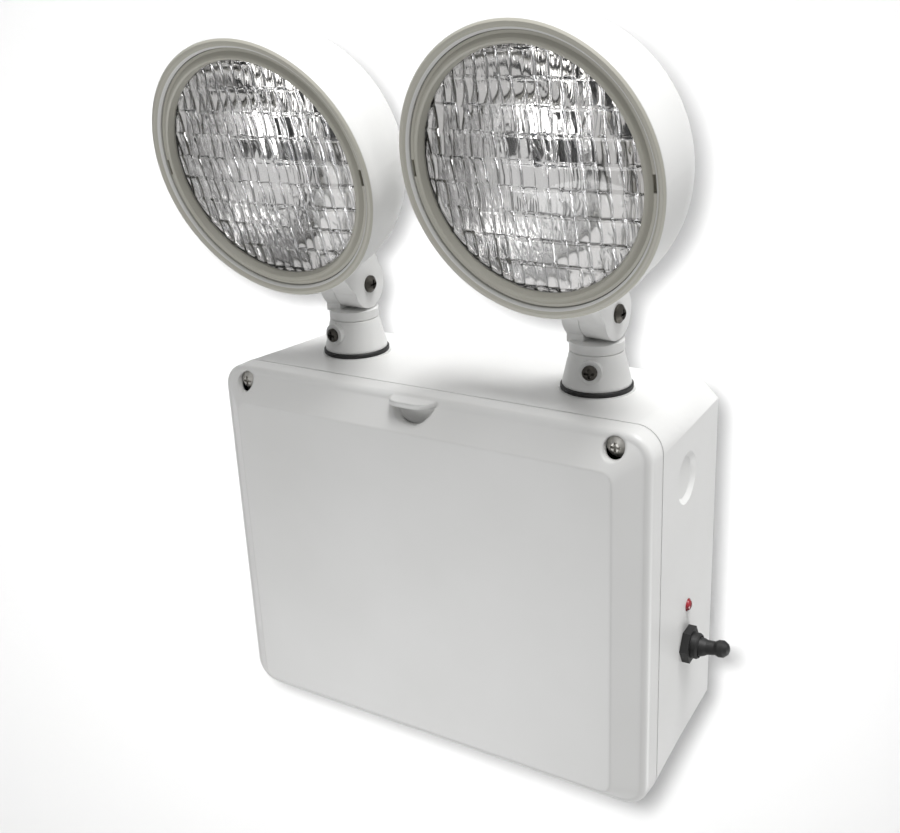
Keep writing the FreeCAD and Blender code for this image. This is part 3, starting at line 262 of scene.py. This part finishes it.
whiteAbs = makeMouldedAbs("white ABS, moulded", absLook["fresh"], absLook["handled"], 0.38, 0.12)
coverAbs = makeMouldedAbs("white ABS cover, moulded", absLook["fresh"], absLook["handled"], 0.38, 0.12,
                          absLook["coverEdgeMm"])
# painted shade: the bezel rings are white ABS given a darker grey-beige for the shade on their faces
shadedRingAbs = makeMouldedAbs("ABS rings, grey-beige painted shade, moulded", absLook["ring"], absLook["ringShadeHandled"], 0.42, 0.1)
blackAbs = makeMouldedAbs("black ABS, moulded", "#1B1B1C", "#262626", 0.4, 0.2)
batteryAbs = makeMouldedAbs("battery case ABS, moulded", "#2D3033", "#26292B", 0.45, 0.2)
neoprene = makeMouldedNeoprene("black neoprene, moulded")
stainless = makeWorkedMetal("stainless steel, cold headed", *metalLook["stainless"])
brightStainless = makeWorkedMetal("stainless steel, tumbled", *metalLook["stainlessBright"])
# a darker stainless, for the set and pivot screws
dullStainless = makeWorkedMetal("stainless steel, turned, darker", *metalLook["stainlessDull"])
zincSteel = makeWorkedMetal("steel, zinc plated", *metalLook["zinc"])
aluminium = makeWorkedMetal("aluminium, extruded", *metalLook["aluminium"])
laminations = makeWorkedMetal("transformer iron, varnished", *metalLook["laminations"])
mirror = makeVacuumAluminised("reflector, vacuum aluminised")
lensGlass = makePressedGlass("lens glass, pressed", "#FFFFFF", 0.02, 1.49)
bulbGlass = makePressedGlass("bulb glass, blown", "#FCFCFC", 0.01, 1.5)
redEpoxy = makeCastEpoxy("red epoxy, cast")
boardGreen = makeLacqueredBoard("circuit board, lacquered")

finishes = {
    "white_plastic": whiteAbs, "black_plastic": blackAbs, "battery_plastic": batteryAbs,
    "red_plastic": redEpoxy, "black_rubber": neoprene, "clear_plastic": lensGlass,
    "bulb_glass": bulbGlass, "reflector_metal": mirror,
    "stainless_steel": stainless, "zinc_steel": zincSteel, "bare_aluminium": aluminium,
    "transformer_iron": laminations, "board_green": boardGreen,
}
for subpart in frame["record"]["subparts"]:
    mesh = nodes[subpart["node"]].data
    mesh.materials.clear()
    mesh.materials.append(finishes[subpart["material_slot"]])
nodes["front_cover"].data.materials[0] = coverAbs
nodes["cover_screws"].data.materials[0] = brightStainless
print("finishes given")


# lamp heads: where they are and how they are aimed

heads = {
    "left": {"turn": 1, "lift": -14},
    "right": {"turn": -3, "lift": -10},
    "reach": 52, "rise": 86.5,       # from the pivot to the middle of the ring, mm
    "rimShadeDepth": 1,                    # depth of the painted shade on the front rim of the shell, mm
}
pivots = {joint["name"]: Vector(joint["pos_m"]) for joint in frame["joints"]}


def headPlace(side):
    # frame of a head, with its origin in the middle of the ring and its lamp facing -Y
    aim = heads[side]
    return (Matrix.Translation(pivots[side + "_tilt"])
            @ Matrix.Rotation(math.radians(aim["turn"]), 4, "Z")
            @ Matrix.Rotation(math.radians(-aim["lift"]), 4, "X")
            @ Matrix.Translation(Vector((0, -heads["reach"] * mm, heads["rise"] * mm))))


def makeRimShadedAbs(side, shell):
    # white moulded ABS whose front rim, ahead of a plane across the head, is painted in the rings' darker
    # grey-beige as shade
    material = whiteAbs.copy()
    material.name = side + " shell ABS, moulded"
    tree = material.node_tree
    shader = next(node for node in tree.nodes if node.bl_idname == "ShaderNodeBsdfPrincipled")
    toHead = headPlace(side).inverted() @ shell.matrix_world
    place = addNode(tree, "ShaderNodeTexCoord")
    along = addNode(tree, "ShaderNodeVectorMath", {"operation": "DOT_PRODUCT", 1: toHead[1][:3]},
                    {0: place.outputs["Object"]})
    limit = heads["rimShadeDepth"] * mm - toHead[1][3]
    ahead = addNode(tree, "ShaderNodeMath", {"operation": "LESS_THAN", 1: limit}, {0: along.outputs["Value"]})
    white = shader.inputs["Base Color"].links[0].from_socket
    # painted shade: the rim ahead of the plane takes the rings' grey-beige in place of the white
    rimShade = addNode(tree, "ShaderNodeMix", {"data_type": "RGBA", 7: linear(absLook["ring"])},
                   {0: ahead.outputs[0], 6: white})
    tree.links.new(rimShade.outputs[2], shader.inputs["Base Color"])
    return material


def addPiece(name, points, faces, material, place, body):
    # a mesh given in mm in its own frame, that rides on a body
    mesh = bpy.data.meshes.new(name)
    mesh.from_pydata([tuple(p) for p in np.asarray(points) * mm], [], faces)
    mesh.transform(place)
    mesh.materials.append(material)
    mesh.polygons.foreach_set("use_smooth", [True] * len(mesh.polygons))
    mesh.validate()
    piece = bpy.data.objects.new(name, mesh)
    bpy.context.scene.collection.objects.link(piece)
    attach(piece, body)
    return piece


# pressed prismatic lens

lens = {
    "radius": 61.6, "faceRadius": 56.1, "flangeFront": 7.03, "flangeBack": 9.45,
    "blend": 1.5,                          # width over which the face runs into the flange
    "front": 5.3, "dome": 3,               # front face, bowed forward
    "flute": 6.1, "fluteDepth": 1.1,       # upright flutes on the inside
    "row": 12, "rowDepth": 0.8,            # pillows stacked up each flute
    "tiltAcross": 1.5, "tiltUp": 1.7,      # each pillow is a prism turned its own way
    "seed": 11,
    "ridge": 0.5, "ridgeWide": 0.9,        # raised line between the rows, on the front
    "cellsAcross": 12, "cellsUp": 18,      # mesh cells to a flute and to a row
}


def pillowHeights(x, z):
    # relief on the inside of the lens: rounded pillows, each with its own tilt
    across, up = x / lens["flute"] + 0.5, z / lens["row"] + 0.5
    column, level = np.floor(across).astype(int), np.floor(up).astype(int)
    across, up = 2 * (across - column) - 1, 2 * (up - level) - 1
    tilts = np.random.default_rng(lens["seed"]).uniform(-1, 1, (2, 40, 40))
    tiltX = tilts[0][column, level] * lens["tiltAcross"] / 2
    tiltZ = tilts[1][column, level] * lens["tiltUp"] / 2
    pillow = lens["fluteDepth"] * across ** 2 + lens["rowDepth"] * up ** 2
    return pillow + tiltX * across + tiltZ * up + lens["tiltUp"] / 2


def buildLens(side):
    # a grid cut to a circle, its outermost points pulled onto the rim
    stepX, stepZ = lens["flute"] / lens["cellsAcross"], lens["row"] / lens["cellsUp"]
    countX, countZ = math.ceil(lens["radius"] / stepX) + 1, math.ceil(lens["radius"] / stepZ) + 1
    x, z = np.meshgrid(np.arange(-countX, countX + 1) * stepX,
                       np.arange(-countZ, countZ + 1) * stepZ, indexing="ij")
    r = np.hypot(x, z)
    inCircle = r <= lens["radius"] + 0.4 * min(stepX, stepZ)
    used = inCircle[:-1, :-1] & inCircle[1:, :-1] & inCircle[1:, 1:] & inCircle[:-1, 1:]
    pull = np.where(r > lens["radius"] - 0.3 * stepX, lens["radius"] / np.maximum(r, 1e-6), 1)
    x, z, r = x * pull, z * pull, np.minimum(r, lens["radius"])
    inner = np.clip((lens["faceRadius"] + lens["blend"] - r) / lens["blend"], 0, 1)
    bow = lens["front"] - lens["dome"] * (1 - np.minimum(r / lens["faceRadius"], 1) ** 2)
    toLine = np.abs(z / lens["row"] + 0.5 - np.round(z / lens["row"] + 0.5)) * lens["row"]
    bow = bow - lens["ridge"] * np.clip(1 - toLine / lens["ridgeWide"], 0, 1)
    front = bow * inner + lens["flangeFront"] * (1 - inner)
    back = lens["flangeBack"] - pillowHeights(x, z) * inner
    points = np.concatenate([np.stack([x, front, z], -1).reshape(-1, 3),
                             np.stack([x, back, z], -1).reshape(-1, 3)])
    index = np.arange(x.size).reshape(x.shape)
    faces, edges = [], {}
    for i, j in np.argwhere(used):
        ring = [index[i, j], index[i + 1, j], index[i + 1, j + 1], index[i, j + 1]]
        faces.append(tuple(int(v) for v in ring))
        faces.append(tuple(int(v) + x.size for v in reversed(ring)))
        for a, b in zip(ring, ring[1:] + ring[:1]):
            key = (min(a, b), max(a, b))
            edges[key] = None if key in edges else (int(a), int(b))
    for edge in edges.values():      # an edge met once is on the rim and joins front to back
        if edge:
            a, b = edge
            faces.append((b, a, a + x.size, b + x.size))
    keep = np.zeros(len(points), bool)
    keep[np.unique(np.concatenate([np.array(f) for f in faces]))] = True
    renumber = np.cumsum(keep) - 1
    piece = addPiece(side + "PrismLens", points[keep], [tuple(int(renumber[v]) for v in f) for f in faces],
                     lensGlass, headPlace(side), side + "_head")
    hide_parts(side + "_lens")


# mirror dish behind the lens

dish = {
    "rim": 59.4, "lip": 3, "front": 9.6, "wall": 1.1, "depth": 34, "neck": 8,
    "lipInside": 0.4, "lipOutside": 1,     # from the edge of the curve to the flat lip
    "backOut": 0.7, "backBehind": 0.9,     # shift of the outer face from the mirror
    "rings": 40, "around": 128,
}


def turnProfile(profile, around):
    # closed profile of (radius, depth) points turned about the Y axis
    points, faces = [], []
    count = len(profile)
    for k in range(around):
        angle = 2 * math.pi * k / around
        points += [(radius * math.cos(angle), depth, radius * math.sin(angle)) for radius, depth in profile]
    for k in range(around):
        here, there = k * count, (k + 1) % around * count
        for i in range(count):
            after = (i + 1) % count
            faces.append((here + i, there + i, there + after, here + after))
    return points, faces


def buildDish(side):
    edge = dish["rim"] - dish["lip"]
    curve = []
    for k in range(dish["rings"] + 1):
        share = k / dish["rings"]
        curve.append((dish["neck"] + (edge - dish["neck"]) * share,
                      dish["front"] + dish["wall"] + dish["depth"] * (1 - share ** 2)))
    rear = dish["front"] + dish["wall"]
    inside = curve + [(edge + dish["lipInside"], dish["front"]), (dish["rim"], dish["front"])]
    outside = [(dish["rim"], rear), (edge + dish["lipOutside"], rear)]
    outside += [(radius + dish["backOut"], depth + dish["backBehind"])
                for radius, depth in reversed(curve[:-1])]
    points, faces = turnProfile(inside + outside, dish["around"])
    piece = addPiece(side + "MirrorDish", points, faces, mirror, headPlace(side), side + "_head")
    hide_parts(side + "_reflector")


# filament on its two posts, inside the bulb

filament = {
    "tip": 27, "coil": 1.1, "length": 6, "turns": 9, "pointsPerTurn": 14,
    "wire": 0.35, "spread": 2.2, "bend": 4, "base": 41,      # the posts run back from their bend to the base
}


def buildFilament(side):
    coil = []
    steps = filament["turns"] * filament["pointsPerTurn"]
    for k in range(steps + 1):
        angle = 2 * math.pi * filament["turns"] * k / steps
        coil.append((-filament["length"] / 2 + filament["length"] * k / steps,
                     filament["tip"] + filament["coil"] * math.cos(angle),
                     filament["coil"] * math.sin(angle)))
    spread, bend = filament["spread"], filament["tip"] + filament["bend"]
    line = [(-spread, filament["base"], 0), (-spread, bend, 0), coil[0]] + coil
    line += [(spread, bend, 0), (spread, filament["base"], 0)]
    curve = bpy.data.curves.new(side + "Filament", "CURVE")
    curve.dimensions = "3D"
    curve.bevel_depth = filament["wire"] / 2 * mm
    curve.bevel_resolution = 1
    spline = curve.splines.new("POLY")
    spline.points.add(len(line) - 1)
    for point, place in zip(spline.points, line):
        point.co = (*(headPlace(side) @ (Vector(place) * mm)), 1)
    curve.materials.append(zincSteel)
    piece = bpy.data.objects.new(side + "Filament", curve)
    bpy.context.scene.collection.objects.link(piece)
    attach(piece, side + "_head")


# indicator: a flanged dome in the side wall

indicator = {
    "stem": 2.5, "tail": 8.3,            # inside the wall
    "flange": 3.5, "flangeThick": 0.5, "sink": 0.2,
    "dome": 2.95, "rise": 2.2,
    "wallBehind": 1.2,                   # from the tip of the solid's dome back to the wall
    "steps": 10, "around": 64,
}


def buildIndicator():
    solid = nodes["indicator_lamp"]
    corners = [solid.matrix_world @ Vector(corner) for corner in solid.bound_box]
    low, high = [Vector(pick(corner[i] for corner in corners) for i in range(3)) for pick in (min, max)]
    wall = Vector((high.x - indicator["wallBehind"] * mm, (low.y + high.y) / 2, (low.z + high.z) / 2))
    stem, flange, sink, thick = (indicator[key] for key in ("stem", "flange", "sink", "flangeThick"))
    profile = [(0, indicator["tail"]), (stem, indicator["tail"]), (stem, sink),
               (flange, sink), (flange, -thick)]
    for k in range(indicator["steps"] + 1):
        angle = math.pi / 2 * k / indicator["steps"]
        profile.append((indicator["dome"] * math.cos(angle),
                        -thick - (indicator["rise"] - thick) * math.sin(angle)))
    points, faces = turnProfile(profile, indicator["around"])
    place = Matrix.Translation(wall) @ Matrix.Rotation(math.pi / 2, 4, "Z")
    piece = addPiece("indicatorDome", points, faces, redEpoxy, place, "enclosure")
    merged = bmesh.new()             # the points on the axis become one
    merged.from_mesh(piece.data)
    bmesh.ops.remove_doubles(merged, verts=merged.verts, dist=1e-7)
    merged.to_mesh(piece.data)
    merged.free()
    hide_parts("indicator_lamp")


buildIndicator()
for side in ("left", "right"):
    nodes[side + "_bezel"].data.materials[0] = shadedRingAbs
    nodes[side + "_head_shell"].data.materials[0] = makeRimShadedAbs(side, nodes[side + "_head_shell"])
    nodes[side + "_set_screw"].data.materials[0] = dullStainless
    nodes[side + "_pivot_screw"].data.materials[0] = dullStainless
    buildLens(side)
    buildDish(side)
    buildFilament(side)
print("indicator, lenses, dishes and filaments built")


# studio: backdrop, dark cards, lamps and camera

studio = {
    "eye": (0.32432, -0.55753, 0.30232), "turnDegrees": (69.4625, 2.5087, 32.3158), "focalMm": 47.13,
    "world": 0.355, "worldInGlass": 0.62,   # even light on the object, and what mirrors and glass see of it
    "backdrop": {"behind": 2.2, "size": 9, "colour": "#BEBEBE"},
    "lamps": {                              # place, size in metres, watts
        "keyAbove": ((0.42, 0.02, 1.7), 0.7, 22),
        "keyForward": ((0.5, -0.5, 1.6), 0.7, 11),
        "bounceLow": ((-0.3, -0.75, -0.5), 0.6, 3.3),
        "sideRight": ((1.15, 0.14, -0.8), 0.8, 7.5),
    },
    # the lamp that lights only the backdrop: beside the camera, so that the shadow is a thin soft rim
    "shadow": {"right": -0.008, "up": 0.0066, "radius": 0.0085, "power": 275},
    # black cards that the glass and the mirrors pick up: place, width and height
    "cards": {"left": ((-1.0, -0.9, 0.35), 0.5, 1.6), "low": ((0.3, -1.2, -0.55), 1.6, 0.4),
              "right": ((1.15, -0.95, 0.3), 0.22, 1.2), "high": ((-0.1, -1.25, 1.0), 1.2, 0.22)},
}

lowest, highest = cadBox
middle = (Vector(lowest) + Vector(highest)) / 2
eye = Vector(studio["eye"])
look = Euler(tuple(math.radians(angle) for angle in studio["turnDegrees"]))


def addPanel(name, place, facing, wide, high, material):
    # flat rectangle that faces the given point
    mesh = bpy.data.meshes.new(name)
    mesh.from_pydata([(-wide / 2, -high / 2, 0), (wide / 2, -high / 2, 0), (wide / 2, high / 2, 0),
                      (-wide / 2, high / 2, 0)], [], [(0, 1, 2, 3)])
    mesh.materials.append(material)
    panel = bpy.data.objects.new(name, mesh)
    bpy.context.scene.collection.objects.link(panel)
    panel.location = place
    panel.rotation_euler = (Vector(facing) - Vector(place)).to_track_quat("Z", "Y").to_euler()
    return panel


def addLamp(kind, name, place, power):
    light = bpy.data.lights.new(name, kind)
    light.energy = power
    lamp = bpy.data.objects.new(name, light)
    bpy.context.scene.collection.objects.link(lamp)
    lamp.location = place
    return lamp


# matt paper, lit to white by its own lamp, so that it keeps the object's shadow as a soft grey rim
paper, _, _ = newMaterial("backdrop paper, matt", {"Base Color": linear(studio["backdrop"]["colour"]),
                                                   "Roughness": 1.0, "Specular IOR Level": 0.0})
# black flocked card: takes light away, so that the glass has darks
flock, _, _ = newMaterial("studio card, black flock", {"Base Color": linear("#050505"), "Roughness": 1.0})
ahead = look.to_matrix() @ Vector((0, 0, -1))
wide = studio["backdrop"]["size"]
backdrop = addPanel("studioBackdrop", eye + ahead * studio["backdrop"]["behind"], eye, wide, wide, paper)
for name, (place, wide, high) in studio["cards"].items():
    addPanel(name + "Card", place, middle, wide, high, flock).visible_camera = False

world = bpy.data.worlds.new("studioWorld")
bpy.context.scene.world = world
world.use_nodes = True
worldTree = world.node_tree
worldTree.nodes.clear()
path = addNode(worldTree, "ShaderNodeLightPath")      # the camera sees a white world
inGlass = addNode(worldTree, "ShaderNodeMath", {"operation": "MAXIMUM"},
                  {0: path.outputs["Is Glossy Ray"], 1: path.outputs["Is Transmission Ray"]})
strength = addNode(worldTree, "ShaderNodeMapRange",
                   {"To Min": studio["world"], "To Max": studio["worldInGlass"]},
                   {"Value": inGlass.outputs[0]})
seen = addNode(worldTree, "ShaderNodeMath", {"operation": "MAXIMUM"},
               {0: strength.outputs[0], 1: path.outputs["Is Camera Ray"]})
glow = addNode(worldTree, "ShaderNodeBackground", {"Color": linear("#FFFFFF")}, {"Strength": seen.outputs[0]})
addNode(worldTree, "ShaderNodeOutputWorld", links={"Surface": glow.outputs[0]})

for name, (place, wide, power) in studio["lamps"].items():
    lamp = addLamp("AREA", name, place, power)
    lamp.data.shape = "DISK"
    lamp.data.size = wide
    lamp.rotation_euler = (middle - Vector(place)).to_track_quat("-Z", "Y").to_euler()
shadow = studio["shadow"]
rimLamp = addLamp("POINT", "shadowLamp", eye + look.to_matrix() @ Vector((shadow["right"], shadow["up"], 0)),
                  shadow["power"])
rimLamp.data.shadow_soft_size = shadow["radius"]
backdropOnly = bpy.data.collections.new("backdropOnly")
backdropOnly.objects.link(backdrop)
rimLamp.light_linking.receiver_collection = backdropOnly
rimLamp.visible_glossy = False
rimLamp.visible_transmission = False

cameraData = bpy.data.cameras.new("camera")
cameraData.lens = studio["focalMm"]
cameraData.sensor_width = 36
cameraData.clip_start = 0.01
camera = bpy.data.objects.new("camera", cameraData)
bpy.context.scene.collection.objects.link(camera)
camera.location = eye
camera.rotation_euler = look
bpy.context.scene.camera = camera
bpy.context.scene.view_settings.view_transform = "Standard"
print("studio ready")

bpy.context.view_layer.update()
